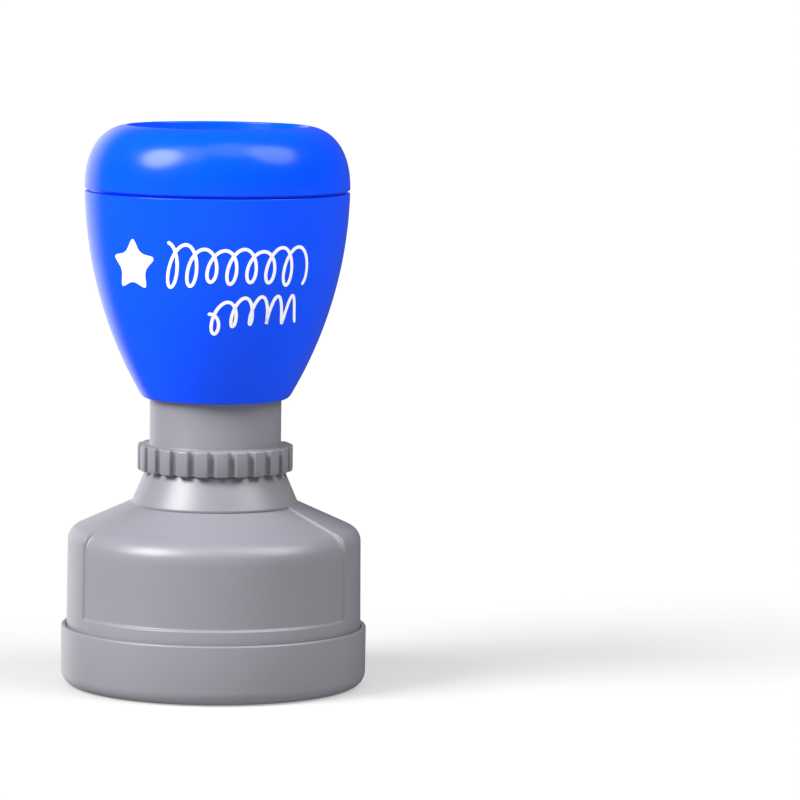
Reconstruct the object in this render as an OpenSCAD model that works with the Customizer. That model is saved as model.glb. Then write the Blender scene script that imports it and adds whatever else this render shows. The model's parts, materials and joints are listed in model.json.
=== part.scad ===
// Round pre-inked hand stamp: dust cap, skirted housing, knurled adjusting sleeve, sprung plunger and handle.
// Origin at the centre of the dust cap's foot, +Z up through the handle. Millimetres.

/* [Dust cap] */
// Outer radius of the dust cap at its rim
cap_r = 26.05; // [25.9:0.05:26.5]
// Height of the dust cap from foot to rim
cap_h = 10.2; // [9.6:0.1:11.4]
// Radius of the rounded edge round the foot
cap_foot_round = 2; // [1.2:0.2:2.4]

/* [Housing] */
// Outer radius of the skirt at its mouth
skirt_r = 25.1; // [25:0.02:25.12]
// Radius of the rounded shoulder between skirt and roof
shoulder_round = 2.5; // [2.1:0.1:3.4]
// Slope of the conical roof below level, in degrees
roof_slope = 24.5; // [23:0.1:25.5]
// How deep the front and back panels are let into the skirt
panel_depth = 0.4; // [0.2:0.05:0.6]
// How far round the skirt each panel reaches, in degrees
panel_arc = 124; // [100:2:140]

/* [Adjusting sleeve] */
// Outer radius of the sleeve's plain tube
sleeve_r = 11.2; // [11.1:0.05:11.25]
// Outer radius of the knurled flange
knurl_r = 13.25; // [13:0.05:13.6]
// Number of teeth round the knurled flange
knurl_count = 24; // [20:1:26]
// Lead of the sleeve's two-start thread, in millimetres of rise a turn
thread_lead = 3; // [2.4:0.2:3]

/* [Plunger] */
// Travel of the handle and pad when pressed
press_travel = 5.5; // [4.5:0.1:5.5]
// Radius of the printing face
print_r = 20; // [18:0.25:20]
// How far the printing face comes past the skirt's mouth at full press
print_proud = 0.2; // [0:0.05:0.3]

/* [Return spring] */
// Diameter of the spring wire
wire_d = 1.2; // [0.9:0.1:1.2]
// Number of turns from end to end, the two closed end turns included
spring_turns = 8; // [6:1:9]

/* [Handle] */
// Largest radius of the handle
handle_r = 22.5; // [22.3:0.1:23]
// Radius of the arc that the handle's side follows from top to bottom
handle_side_arc = 71.2; // [70:0.2:73]
// Radius of the label dish in the top of the handle cap
dish_r = 15.4; // [14.6:0.1:15.8]
// Depth of the label dish
dish_depth = 2.2; // [1:0.1:2.4]

/* [Hidden] */
$fn = 96;

// How far a cutter runs past the face that it cuts
cut = 1;

// Colours
blue = "#0a5cff";
grey = "#a9a9ae";
steel = "#b9bcc0";
black = "#202224";
felt = "#2c3f8f";
foam = "#3a56c4";
white = "#e9e9e6";

// Heights of the dust cap's floor and of the ledge that carries the skirt
cap_floor_z = 1.8;
mouth_z = 2.4;
foot_recess = 0.5;
foot_inner_r = 19;
ledge_r = 23.2;
cap_fit = 0.14;
rim_round = 0.35;
cap_draft = 0.05;

// Housing: neck cone, roof and walls
neck_r = 14.15;
neck_z = 31.32;
collar_r = 11.85;
collar_z = 36.7;
skirt_draft = 0.12;
skirt_wall = 1.75;
neck_wall = 1.5;
mouth_round = 0.3;
housing_low_z = mouth_z + 0.1;
panel_z = 12.45;
panel_step = 0.15;
guide_r = 7.6;
guide_wall = 2;
guide_low_z = 22;
spigot_root_r = 9;
spigot_crest_r = 9.5;
spigot_top_z = 44;
pocket_z = 35.1;
rib_count = 6;
rib_w = 1.2;
rib_z = 23.5;
rib_sink = 0.3;
key_w = 3.4;
key_r = 5.7;
key_sink = 0.5;

// Adjusting sleeve, with the direction of one gap between teeth, in degrees
sleeve_bore = 9.62;
sleeve_low_z = 36.8;
flange_top_z = 41.1;
sleeve_top_z = 55.1;
knurl_depth = 0.95;
knurl_gap = 1.15;
knurl_turn = -92.5;
flange_round = 0.4;
knurl_chamfer = 0.25;
tube_chamfer = 0.3;

// Soft stop washer on the sleeve's top end
washer_in_r = 9.8;
washer_out_r = 11.05;
washer_h = 1;
seat_gap = 0.05;

// Plunger rod
rod_r = 7.5;
rod_low_z = 17.6;
ink_bore_r = 2;
flute_w = 4;
flute_r = 5.3;
flute_top_z = 57;

// Screws: three short ones up through the pad holder and three longer ones down through the handle's web
screw_angles = [90, 210, 330];
head_gap = 0.02;
short_ring = 4.6;
short_r = 1;
short_l = 5.8;
short_head = [1.95, 1.1];
short_hole_r = 1.1;
short_pilot = [1.02, 5.5];
short_sink = [2.1, 1.2];
long_ring = 5.8;
long_r = 1.25;
long_l = 7.6;
long_head = [2.15, 1.5];
long_hole_r = 1.35;
long_pilot = [1.27, 6];

// Printing pad, from its face up
face_z = mouth_z - print_proud + press_travel;
relief_h = 0.3;
pad_low_z = face_z + relief_h;
pad_step_z = pad_low_z + 2.5;
pad_top_z = pad_low_z + 4;
pad_flange_r = 21;
ring_r = [print_r - 2.2, print_r - 0.8];
star_r = [print_r * 0.3, print_r * 0.68];
felt_r = 20.9;
frame_low_z = face_z + 0.65;
frame_in_r = print_r + 0.15;
holder_low_z = pad_low_z + 1;
holder_in_r = 21.1;
holder_r = 22.3;
holder_plate_z = 15.4;
holder_chamfer = 0.4;
feed_r = 1.5;
hub_r = 9.5;
hub_top_z = 21.8;
holder_rib = [holder_r - hub_r - 0.8, 1, 1.8];

// Handle
web_low_z = 64;
web_top_z = 66;
handle_low_z = 49;
handle_arc_z = 85.6;
handle_top_z = 84.2;
handle_wall = 2;
handle_foot_round = 1.6;
handle_fit = 0.2;
bore_chamfer = 0.2;
foot_wall = 2.6;
mouth_r = 20.5;
mouth_low_z = 78.5;
filler_r = 2.4;
filler_out_r = 3.6;
filler_top_z = 69;

// Handle cap
seam_gap = 0.55;
cap_low_z = handle_top_z + seam_gap;
dome_in_r = 14.2;
dome_h = 10.7;
dome_power = 2.3;
cap_skirt_r = 20.4;
cap_skirt_in_r = 18.9;
cap_skirt_z = 78.8;
cap_seat_r = 21.7;
rim_turn = acos(pow((dish_r - dome_in_r) / (handle_r - dome_in_r), dome_power / 2));
rim_z = cap_low_z + dome_h * pow(sin(rim_turn), 2 / dome_power);
dish_floor_z = rim_z - dish_depth;
dish_floor_r = dish_r - 0.7;
dish_wall = 1.8;
floor_round = 0.25;
skirt_chamfer = 0.3;

// Label in the dish
label_r = dish_floor_r - 0.4;
label_h = 0.25;

// Points on an arc of radius r round [x, y], from angle a to angle b
function arc(x, y, r, a, b, n = 10) =
    [for (i = [0 : n]) let (t = a + (b - a) * i / n) [x + r * cos(t), y + r * sin(t)]];

// Radius of the handle's outside at height z, for a wall set in by t
function handle_side(z, t = 0) =
    handle_r - handle_side_arc + sqrt(pow(handle_side_arc - t, 2) - pow(z - handle_arc_z, 2));

// Points up the handle's side between two heights
function handle_curve(z0, z1, t, n = 24) =
    [for (i = [0 : n]) let (z = z0 + (z1 - z0) * i / n) [handle_side(z, t), z]];

// Superellipse quarter of the handle cap's dome, set in by t, from angle a up to angle b
function dome(t, a, b, n = 24) =
    [for (i = [0 : n]) let (u = a + (b - a) * i / n)
        [dome_in_r + (handle_r - dome_in_r - t) * pow(cos(u), 2 / dome_power),
         cap_low_z + (dome_h - t) * pow(sin(u), 2 / dome_power)]];

// Directions in the housing's section: outward from the roof, down the neck cone, and into the neck wall
roof_out = [sin(roof_slope), cos(roof_slope)];
neck_base = [neck_r, neck_z];
neck_run = neck_base - [collar_r, collar_z];
neck_down = neck_run / norm(neck_run);
neck_in = [neck_down[1], -neck_down[0]];

// The neck's foot on a roof set in by t, along a neck cone set in by s
function neck_foot(t, s = 0) =
    neck_base + neck_in * s
    - neck_down * (t + s * (neck_in * roof_out)) / (neck_down * roof_out);

// Skirt, shoulder and roof in section, set in by t, from height z up to the neck
function skirt(t, z, n = 10) =
    let (
        top_r = skirt_r - skirt_draft,
        cr = top_r - shoulder_round,
        cz = neck_z - (shoulder_round + (cr - neck_r) * roof_out[0]) / roof_out[1]
    )
    concat([[skirt_r - t, z]], arc(cr, cz, shoulder_round - t, 0, 90 - roof_slope, n));

// Ridges of the two-start thread, drawn level, up the outside of the housing's spigot
function thread_ridges() =
    let (pitch = thread_lead / 2)
    [for (z = [collar_z + 0.6 : pitch : spigot_top_z - 1.2], p = [[0, 0], [1, 0.25], [1, 0.55], [0, 0.8]])
        [spigot_root_r + p[0] * (spigot_crest_r - spigot_root_r), z + p[1]]];

module turned(points) {
    rotate_extrude() polygon(points);
}

module at_screws(ring) {
    for (a = screw_angles) rotate(a) translate([ring, 0, 0]) children();
}

// Pan-head screw with a cross recess, its head, [radius, height], standing on z = 0
module pan_screw(shank_r, shank_l, head) {
    tip_l = 0.8;
    tip_r = 0.25;
    sink = 0.2;
    head_round = 0.5;
    recess = [head[0] * 1.2, head[0] * 0.24, head[1]];
    difference() {
        union() {
            turned(concat([[0, 0], [head[0], 0]],
                arc(head[0] - head_round, head[1] - head_round, head_round, 0, 90, 4), [[0, head[1]]]));
            translate([0, 0, tip_l - shank_l]) cylinder(r = shank_r, h = shank_l - tip_l + sink);
            translate([0, 0, -shank_l]) cylinder(r1 = tip_r, r2 = shank_r, h = tip_l);
        }
        for (a = [0, 90]) rotate(a)
            translate([-recess[0] / 2, -recess[1] / 2, head[1] * 0.35]) cube(recess);
    }
}

module base_cap() {
    color(grey) turned(concat(
        [[0, foot_recess], [foot_inner_r - foot_recess, foot_recess], [foot_inner_r, 0]],
        arc(cap_r - cap_draft - cap_foot_round, cap_foot_round, cap_foot_round, -90, 0),
        arc(cap_r - rim_round, cap_h - rim_round, rim_round, 0, 90, 4),
        [[skirt_r + cap_fit, cap_h], [skirt_r + cap_fit, mouth_z], [ledge_r, mouth_z],
         [ledge_r, cap_floor_z], [0, cap_floor_z]]
    ));
}

// Section of the housing, thread and bore included
module housing_section() {
    pocket = neck_base + neck_in * neck_wall;
    pocket_run = (pocket_z - pocket[1]) / neck_down[1];
    inner = skirt(skirt_wall, housing_low_z);
    polygon(concat(
        [[guide_r, guide_low_z], [guide_r + guide_wall, guide_low_z], [guide_r + guide_wall, pocket_z]],
        [pocket + neck_down * pocket_run, neck_foot(skirt_wall, neck_wall)],
        [for (i = [len(inner) - 1 : -1 : 0]) inner[i]],
        [[skirt_r - skirt_wall, housing_low_z], [skirt_r - mouth_round, housing_low_z]],
        skirt(0, housing_low_z + mouth_round),
        [neck_base, [collar_r, collar_z], [spigot_root_r, collar_z]],
        thread_ridges(),
        [[spigot_root_r, spigot_top_z], [guide_r, spigot_top_z]]
    ));
}

// Section of what a panel takes off the skirt and roof, up to a thin step short of the neck
module panel_section() {
    inside = skirt(panel_depth, panel_z);
    outside = skirt(-1, panel_z);
    near_neck = neck_foot(panel_depth) + [panel_step, -panel_step * tan(roof_slope)];
    polygon(concat(
        inside,
        [near_neck, near_neck + roof_out * (panel_depth + 1)],
        [for (i = [len(outside) - 1 : -1 : 0]) outside[i]]
    ));
}

// Section of the space under the roof that the stiffening ribs fill
module rib_section() {
    foot = neck_foot(skirt_wall - rib_sink, neck_wall - rib_sink);
    hub = guide_r + guide_wall - rib_sink;
    polygon(concat([[hub, rib_z]], skirt(skirt_wall - rib_sink, rib_z), [foot, [hub, neck_z]]));
}

module bell_housing() {
    color(grey) {
        difference() {
            rotate_extrude() housing_section();
            for (side = [-90, 90])
                rotate(side - panel_arc / 2) rotate_extrude(angle = panel_arc) panel_section();
        }
        intersection() {
            rotate_extrude() rib_section();
            for (i = [0 : rib_count - 1]) rotate(i * 360 / rib_count + 30)
                translate([0, -rib_w / 2, rib_z]) cube([skirt_r, rib_w, 20]);
        }
        for (a = [0, 180]) rotate(a)
            translate([key_r, -key_w / 2, guide_low_z])
                cube([guide_r + key_sink - key_r, key_w, spigot_top_z - guide_low_z]);
    }
}

// One gap between two teeth, with a round bottom, centred on the +X axis
module knurl_gap_shape() {
    root = knurl_r - knurl_depth;
    half = knurl_gap / 2;
    flare_from = knurl_r - 0.25;
    flare_half = half + 0.4;
    polygon(concat(
        [[knurl_r + cut, flare_half], [flare_from, half]],
        arc(root + half, 0, half, 90, 270, 6),
        [[flare_from, -half], [knurl_r + cut, -flare_half]]
    ));
}

module adjusting_sleeve() {
    color(grey) {
        intersection() {
            linear_extrude(height = flange_top_z + cut) difference() {
                circle(r = knurl_r + 0.01);
                for (i = [0 : knurl_count - 1])
                    rotate(i * 360 / knurl_count + knurl_turn) knurl_gap_shape();
            }
            turned(concat(
                [[sleeve_bore, sleeve_low_z], [knurl_r - knurl_chamfer, sleeve_low_z],
                 [knurl_r, sleeve_low_z + knurl_chamfer]],
                arc(knurl_r - flange_round, flange_top_z - flange_round, flange_round, 0, 90, 4),
                [[sleeve_bore, flange_top_z]]
            ));
        }
        turned([
            [sleeve_bore, sleeve_low_z], [sleeve_r, sleeve_low_z], [sleeve_r, sleeve_top_z - tube_chamfer],
            [sleeve_r - tube_chamfer, sleeve_top_z], [sleeve_bore, sleeve_top_z]
        ]);
    }
}

module stop_washer() {
    color(black) translate([0, 0, sleeve_top_z + seat_gap]) difference() {
        cylinder(r = washer_out_r, h = washer_h);
        translate([0, 0, -cut]) cylinder(r = washer_in_r, h = washer_h + 2 * cut);
    }
}

// Height of the spring's centre line after a share s of its turns, with one closed turn at each end
function spring_height(s) =
    let (
        low = spigot_top_z + seat_gap + wire_d / 2,
        high = web_low_z - seat_gap - wire_d / 2,
        closed = wire_d * 1.04,
        t = s * spring_turns,
        open_pitch = (high - low - 2 * closed) / (spring_turns - 2)
    )
    t < 1 ? low + closed * t
    : t > spring_turns - 1 ? high - closed * (spring_turns - t)
    : low + closed + open_pitch * (t - 1);

module return_spring() {
    per_turn = 24;
    sides = 8;
    coil_r = (guide_r + spigot_crest_r) / 2 + 0.05;
    steps = spring_turns * per_turn;
    points = [for (i = [0 : steps], k = [0 : sides - 1])
        let (
            turn = 360 * i / per_turn,
            round_wire = 360 * k / sides,
            r = coil_r + wire_d / 2 * cos(round_wire)
        )
        [r * cos(turn), r * sin(turn), spring_height(i / steps) + wire_d / 2 * sin(round_wire)]];
    walls = [for (i = [0 : steps - 1], k = [0 : sides - 1])
        let (a = i * sides + k, b = i * sides + (k + 1) % sides)
        [a, b, b + sides, a + sides]];
    ends = [[for (k = [sides - 1 : -1 : 0]) k], [for (k = [0 : sides - 1]) steps * sides + k]];
    color(steel) polyhedron(points = points, faces = concat(walls, ends));
}

module plunger_rod() {
    color(grey) difference() {
        translate([0, 0, rod_low_z]) cylinder(r = rod_r, h = web_low_z - rod_low_z);
        translate([0, 0, rod_low_z - cut]) cylinder(r = ink_bore_r, h = web_low_z - rod_low_z + 2 * cut);
        for (a = [0, 180]) rotate(a)
            translate([flute_r, -flute_w / 2, hub_top_z]) cube([5, flute_w, flute_top_z - hub_top_z]);
        at_screws(short_ring)
            translate([0, 0, rod_low_z - cut]) cylinder(r = short_pilot[0], h = short_pilot[1] + cut);
        at_screws(long_ring)
            translate([0, 0, web_low_z - long_pilot[1]]) cylinder(r = long_pilot[0], h = long_pilot[1] + cut);
    }
}

module pad_holder() {
    color(grey) {
        difference() {
            turned([
                [feed_r, holder_plate_z], [holder_in_r, holder_plate_z], [holder_in_r, holder_low_z],
                [holder_r, holder_low_z], [holder_r, rod_low_z - holder_chamfer],
                [holder_r - holder_chamfer, rod_low_z], [hub_r, rod_low_z], [hub_r, hub_top_z],
                [rod_r + seat_gap, hub_top_z], [rod_r + seat_gap, rod_low_z], [feed_r, rod_low_z]
            ]);
            at_screws(short_ring) translate([0, 0, holder_plate_z - cut]) {
                cylinder(r = short_hole_r, h = rod_low_z - holder_plate_z + 2 * cut);
                cylinder(r = short_sink[0], h = short_sink[1] + cut);
            }
        }
        for (i = [0 : rib_count - 1]) rotate(i * 360 / rib_count)
            translate([hub_r - 0.2, -holder_rib[1] / 2, rod_low_z - 0.2]) cube(holder_rib);
    }
}

module holder_screws() {
    color(steel) at_screws(short_ring)
        translate([0, 0, holder_plate_z + short_sink[1] - head_gap])
            mirror([0, 0, 1]) pan_screw(short_r, short_l, short_head);
}

module ink_reservoir() {
    low = pad_top_z + seat_gap;
    color(felt) translate([0, 0, low]) cylinder(r = felt_r, h = holder_plate_z - seat_gap - low);
}

// Five-pointed star, one point towards the front
module star() {
    polygon([for (i = [0 : 9]) let (r = star_r[1 - i % 2], a = i * 36 - 90) [r * cos(a), r * sin(a)]]);
}

module flash_pad() {
    color(foam) {
        turned([
            [0, pad_low_z], [print_r, pad_low_z], [print_r, pad_step_z], [pad_flange_r, pad_step_z],
            [pad_flange_r, pad_top_z], [0, pad_top_z]
        ]);
        translate([0, 0, face_z]) linear_extrude(height = relief_h + 0.2) {
            difference() {
                circle(r = ring_r[1]);
                circle(r = ring_r[0]);
            }
            star();
        }
    }
}

module pad_frame() {
    color(white) turned([
        [frame_in_r, frame_low_z], [holder_r, frame_low_z], [holder_r, holder_low_z - seat_gap],
        [holder_in_r - seat_gap, holder_low_z - seat_gap], [holder_in_r - seat_gap, pad_step_z - seat_gap],
        [frame_in_r, pad_step_z - seat_gap]
    ]);
}

module handle_body() {
    foot_cz = handle_low_z + handle_foot_round;
    foot_cr = handle_side(foot_cz, handle_foot_round);
    foot_turn = asin((foot_cz - handle_arc_z) / (handle_side_arc - handle_foot_round));
    foot = arc(foot_cr, foot_cz, handle_foot_round, -90, foot_turn, 8);
    bottom_r = sleeve_r + handle_fit;
    color(blue) difference() {
        turned(concat(
            [[bottom_r, handle_low_z + bore_chamfer], [bottom_r + bore_chamfer, handle_low_z]],
            [for (p = foot) if (p[0] > bottom_r + bore_chamfer + seat_gap) p],
            handle_curve(foot[8][1] + 0.5, handle_top_z, 0),
            [[mouth_r, handle_top_z], [mouth_r, mouth_low_z]],
            handle_curve(mouth_low_z - 0.6, web_top_z, handle_wall, 10),
            [[filler_out_r, web_top_z], [filler_out_r, filler_top_z], [filler_r, filler_top_z],
             [filler_r, web_low_z]],
            handle_curve(web_low_z, handle_low_z + foot_wall + 0.6, handle_wall, 10),
            [[bottom_r, handle_low_z + foot_wall]]
        ));
        at_screws(long_ring)
            translate([0, 0, web_low_z - cut]) cylinder(r = long_hole_r, h = web_top_z - web_low_z + 2 * cut);
    }
}

module handle_screws() {
    color(steel) at_screws(long_ring)
        translate([0, 0, web_top_z + head_gap]) pan_screw(long_r, long_l, long_head);
}

module filler_plug() {
    top = filler_top_z + seat_gap;
    stem_r = filler_r - 0.08;
    flange_r = 4.2;
    flange_h = 1.4;
    edge = 0.5;
    color(black) turned(concat(
        [[0, top - 3], [filler_r - 0.5, top - 3], [stem_r, top - 2.4], [stem_r, top], [flange_r, top]],
        arc(flange_r - edge, top + flange_h - edge, edge, 0, 90, 4),
        [[1.4, top + flange_h], [1.2, top + 2.2]],
        arc(1, top + 3, edge, -30, 90, 6),
        [[0, top + 3 + edge]]
    ));
}

module handle_cap() {
    outside = dome(0, 0, rim_turn);
    inside_turn = acos(pow(0.06, dome_power / 2));
    inside = dome(handle_wall, 6, inside_turn, 14);
    under_z = dish_floor_z - dish_wall;
    color(blue) turned(concat(
        [for (p = inside) if (p[1] < under_z && p[0] < cap_skirt_in_r + 1.2) p],
        [[dome_in_r - 2, under_z], [0, under_z], [0, dish_floor_z], [dish_floor_r, dish_floor_z]],
        arc(dish_floor_r, dish_floor_z + floor_round, floor_round, -90, 0, 4),
        [[dish_r - 0.3, rim_z - 0.4], [dish_r - 0.22, rim_z - 0.12]],
        [for (i = [24 : -1 : 0]) outside[i]],
        [[cap_seat_r, cap_low_z], [cap_seat_r, handle_top_z + seat_gap],
         [cap_skirt_r, handle_top_z + seat_gap], [cap_skirt_r, cap_skirt_z + skirt_chamfer],
         [cap_skirt_r - skirt_chamfer, cap_skirt_z], [cap_skirt_in_r, cap_skirt_z],
         [cap_skirt_in_r, cap_low_z]]
    ));
}

module label_disc() {
    color(white) translate([0, 0, dish_floor_z]) cylinder(r = label_r, h = label_h);
}

base_cap();
bell_housing();
adjusting_sleeve();
stop_washer();
return_spring();
plunger_rod();
pad_holder();
holder_screws();
ink_reservoir();
flash_pad();
pad_frame();
handle_body();
handle_screws();
filler_plug();
handle_cap();
label_disc();
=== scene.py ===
# %% [markdown]
# # A round pre-inked hand stamp
#
# The stamp stands in its grey dust cap. Above the cap come the skirted housing, a sleeve with a knurled
# flange that sets how deep the stamp presses, and a glossy blue handle with a push-in cap. Inside are the
# rod, its return spring, the ink felt and the foam printing pad.
#
# The engineering model already holds every size, joint and fit, so this script never moves or resizes it.
# It builds finer skins on the same axes, gives every piece the finish of the plastic, steel, rubber, felt
# or foam that it is made of, and lights it. It is read from top to bottom, one cell at a time.

# %% Load the fixed frame
import json
from math import acos, asin, atan2, cos, degrees, hypot, pi, radians, sin, sqrt, tan

import bmesh
import bpy
from mathutils import Matrix, Vector

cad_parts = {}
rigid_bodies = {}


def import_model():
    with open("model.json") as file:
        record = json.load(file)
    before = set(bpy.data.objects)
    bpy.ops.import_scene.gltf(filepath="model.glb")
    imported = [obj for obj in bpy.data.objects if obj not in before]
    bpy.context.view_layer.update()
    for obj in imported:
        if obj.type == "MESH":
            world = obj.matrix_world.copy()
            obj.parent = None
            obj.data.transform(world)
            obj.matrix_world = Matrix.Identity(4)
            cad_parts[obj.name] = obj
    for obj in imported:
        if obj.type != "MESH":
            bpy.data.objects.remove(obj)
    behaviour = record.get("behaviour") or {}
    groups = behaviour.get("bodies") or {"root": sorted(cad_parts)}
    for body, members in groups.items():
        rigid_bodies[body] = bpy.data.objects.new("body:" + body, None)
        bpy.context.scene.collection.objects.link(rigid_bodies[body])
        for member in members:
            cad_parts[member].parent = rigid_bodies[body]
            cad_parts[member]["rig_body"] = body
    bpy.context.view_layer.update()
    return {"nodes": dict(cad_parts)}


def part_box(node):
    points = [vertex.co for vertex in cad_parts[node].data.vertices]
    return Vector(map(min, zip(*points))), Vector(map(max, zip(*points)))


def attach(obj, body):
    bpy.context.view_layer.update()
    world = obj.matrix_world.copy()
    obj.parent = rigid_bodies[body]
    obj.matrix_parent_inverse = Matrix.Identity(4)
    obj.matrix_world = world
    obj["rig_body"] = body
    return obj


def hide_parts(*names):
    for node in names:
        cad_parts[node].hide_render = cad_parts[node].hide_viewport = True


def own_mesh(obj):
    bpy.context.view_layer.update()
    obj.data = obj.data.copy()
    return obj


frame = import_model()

MM = 0.001

# %% [markdown]
# ## Working in millimetres
#
# Moulding drawings are in millimetres and the scene is in metres. Outlines below are therefore lists of
# (radius, height) in millimetres, and one function turns a finished bmesh into an object in metres. Sizes
# come from the frame's own boxes where they can, so a change to the engineering model carries through.

# %% Heights that the frame gives


def low(node):
    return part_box(node)[0].z / MM


def high(node):
    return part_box(node)[1].z / MM


def radius(node):
    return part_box(node)[1].x / MM


print("dust cap rim", high("base_cap"), "handle foot", low("handle_body"), "crown", high("handle_cap"))

# %% [markdown]
# ## Outlines with rounded corners
#
# Almost every moulding here is turned: one outline swept round the axis. A drawing gives an outline as
# corners, each with a fillet radius, and that is the neatest way to write one down too. `rounded` puts an
# arc at each corner. It could be done after the sweep with a bevel, but on a turned shape the arc costs
# nothing in the outline and comes out perfectly even.

# %% Outline helpers
ARC_STEPS = 5


def arc(x, y, r, start, end, steps=12):
    """Points on a circle round (x, y), from one angle to another, in degrees."""
    turns = [radians(start + (end - start) * i / steps) for i in range(steps + 1)]
    return [(x + r * cos(t), y + r * sin(t)) for t in turns]


def fillet(before, corner, after, r, steps=ARC_STEPS):
    """Points of an arc of radius r that rounds one corner of an outline."""
    here = Vector(corner)
    to_before = (Vector(before) - here).normalized()
    to_after = (Vector(after) - here).normalized()
    half = to_before.angle(to_after) / 2
    reach = r / tan(half)
    centre = here + (to_before + to_after).normalized() * (r / sin(half))
    start = here + to_before * reach - centre
    end = here + to_after * reach - centre
    sweep = start.angle_signed(end)
    return [tuple(centre + Matrix.Rotation(-sweep * i / steps, 2) @ start) for i in range(steps + 1)]


def rounded(corners, closed=True):
    """An outline from (radius, height) corners, where a third number is a corner's fillet radius."""
    points = []
    for i, corner in enumerate(corners):
        inner = closed or 0 < i < len(corners) - 1
        if len(corner) == 3 and inner:
            before, after = corners[i - 1], corners[(i + 1) % len(corners)]
            points += fillet(before[:2], corner[:2], after[:2], corner[2])
        else:
            points.append(tuple(corner[:2]))
    return points


print("a square corner rounds to", len(fillet((0, 0), (1, 0), (1, 1), 0.2)), "points")

# %% [markdown]
# ## Turning an outline into a solid
#
# The spin operator sweeps a chain of edges round an axis. A full turn is merged onto its own start, and
# points on the axis collapse into one pole, so every turned piece is a closed skin with no seam. Normals
# are worked out afterwards, because the direction of an outline decides which way a spin's faces look.

# %% Lathe and object helpers
ROUND_STEPS = 180
SHARP_ANGLE = radians(40)
SAME_POINT = 0.0005


def outline_chain(bm, outline, closed):
    """Adds an outline in the XZ plane as vertices joined by edges."""
    verts = [bm.verts.new((r, 0, z)) for r, z in outline]
    pairs = list(zip(verts, verts[1:])) + ([(verts[-1], verts[0])] if closed else [])
    return verts + [bm.edges.new(pair) for pair in pairs]


def lathe(bm, outline, closed=True, steps=ROUND_STEPS):
    """Sweeps an outline round the Z axis. An open outline starts and ends on the axis."""
    chain = outline_chain(bm, outline, closed)
    bmesh.ops.spin(
        bm, geom=chain, cent=(0, 0, 0), axis=(0, 0, 1), angle=2 * pi, steps=steps, use_merge=True
    )
    bmesh.ops.remove_doubles(bm, verts=bm.verts, dist=SAME_POINT)
    bmesh.ops.recalc_face_normals(bm, faces=bm.faces)


def into_object(bm, name, material, sharp=SHARP_ANGLE):
    """Turns a bmesh in millimetres into a smooth-shaded object in metres and frees the bmesh."""
    bmesh.ops.scale(bm, vec=(MM, MM, MM), verts=bm.verts)
    mesh = bpy.data.meshes.new(name)
    bm.to_mesh(mesh)
    bm.free()
    mesh.shade_smooth()
    mesh.set_sharp_from_angle(angle=sharp)
    mesh.materials.append(material)
    piece = bpy.data.objects.new(name, mesh)
    bpy.context.scene.collection.objects.link(piece)
    print(f"{name}: {len(mesh.polygons)} faces")
    return piece


def stand_for(piece, node):
    """The piece takes a node's place and rides on that node's body."""
    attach(piece, frame["nodes"][node]["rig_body"])
    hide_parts(node)


# %% [markdown]
# ## Materials: how they are built
#
# Colours are written as sRGB hex, the way a paint or plastic chart gives them, and one function turns them
# to the linear values that the shader wants. Every node is added by one other function. Patterns are placed
# by Object coordinates in metres, so a noise of `per_mm(0.3)` has features about a third of a millimetre
# wide.
#
# Real finishes are never quite even. So each one here has three patterns: the first mixes two near colours,
# the second moves the roughness between two values, and the third raises the surface. `dress` puts the three
# on a shader, and what differs from one material to the next is only what the patterns are.

# %% Colour, node and pattern helpers
NOISE_LOW = 0.3
NOISE_HIGH = 0.7


def linear(hex_colour):
    """An sRGB hex colour as linear red, green, blue and alpha."""
    channels = [int(hex_colour[i : i + 2], 16) / 255 for i in (1, 3, 5)]
    return [c / 12.92 if c <= 0.04045 else ((c + 0.055) / 1.055) ** 2.4 for c in channels] + [1.0]


def add(tree, kind, inputs=None, **settings):
    """Adds one node. An input is given a value, or a socket to link from."""
    made = tree.nodes.new(kind)
    for name, value in settings.items():
        setattr(made, name, value)
    for name, value in (inputs or {}).items():
        if isinstance(value, bpy.types.NodeSocket):
            tree.links.new(value, made.inputs[name])
        else:
            made.inputs[name].default_value = value
    return made


def per_mm(size):
    """The scale of a texture whose features are this many millimetres wide."""
    return 1 / (size * MM)


def new_material(name, ior=None, metallic=0.0):
    """A material with its tree, its shader and the Object coordinates."""
    material = bpy.data.materials.new(name)
    material.use_nodes = True
    tree = material.node_tree
    shader = tree.nodes["Principled BSDF"]
    shader.inputs["Metallic"].default_value = metallic
    if ior is not None:
        shader.inputs["IOR"].default_value = ior
    place = add(tree, "ShaderNodeTexCoord").outputs["Object"]
    return material, tree, shader, place


def dress(tree, shader, colours, gloss, relief):
    """Gives a shader (pattern, hex, hex), (pattern, smooth, rough) and (pattern, depth in mm, strength)."""
    mixed = {0: colours[0], 6: linear(colours[1]), 7: linear(colours[2])}
    colour = add(tree, "ShaderNodeMix", mixed, data_type="RGBA").outputs[2]
    ranged = {"Value": gloss[0], "From Min": NOISE_LOW, "From Max": NOISE_HIGH}
    ranged.update({"To Min": gloss[1], "To Max": gloss[2]})
    roughness = add(tree, "ShaderNodeMapRange", ranged).outputs["Result"]
    raised = {"Height": relief[0], "Distance": relief[1] * MM, "Strength": relief[2]}
    normal = add(tree, "ShaderNodeBump", raised).outputs["Normal"]
    tree.links.new(colour, shader.inputs["Base Color"])
    tree.links.new(roughness, shader.inputs["Roughness"])
    tree.links.new(normal, shader.inputs["Normal"])
    return normal


print("mid grey is", [round(c, 3) for c in linear("#808080")[:3]])

# %% [markdown]
# ## Blue handle plastic
#
# The handle is ABS, moulded in a polished steel tool, so it comes out with a near-mirror skin. What keeps it
# from looking like glass is a very shallow orange peel some millimetres wide, and a little unevenness in the
# gloss where hands have held it. Fine hairlines lie on top of the peel, so a second bump takes the first
# one's normal as its own ground. The pigment is strong, so the colour barely varies.

# %% Polished blue ABS


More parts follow.
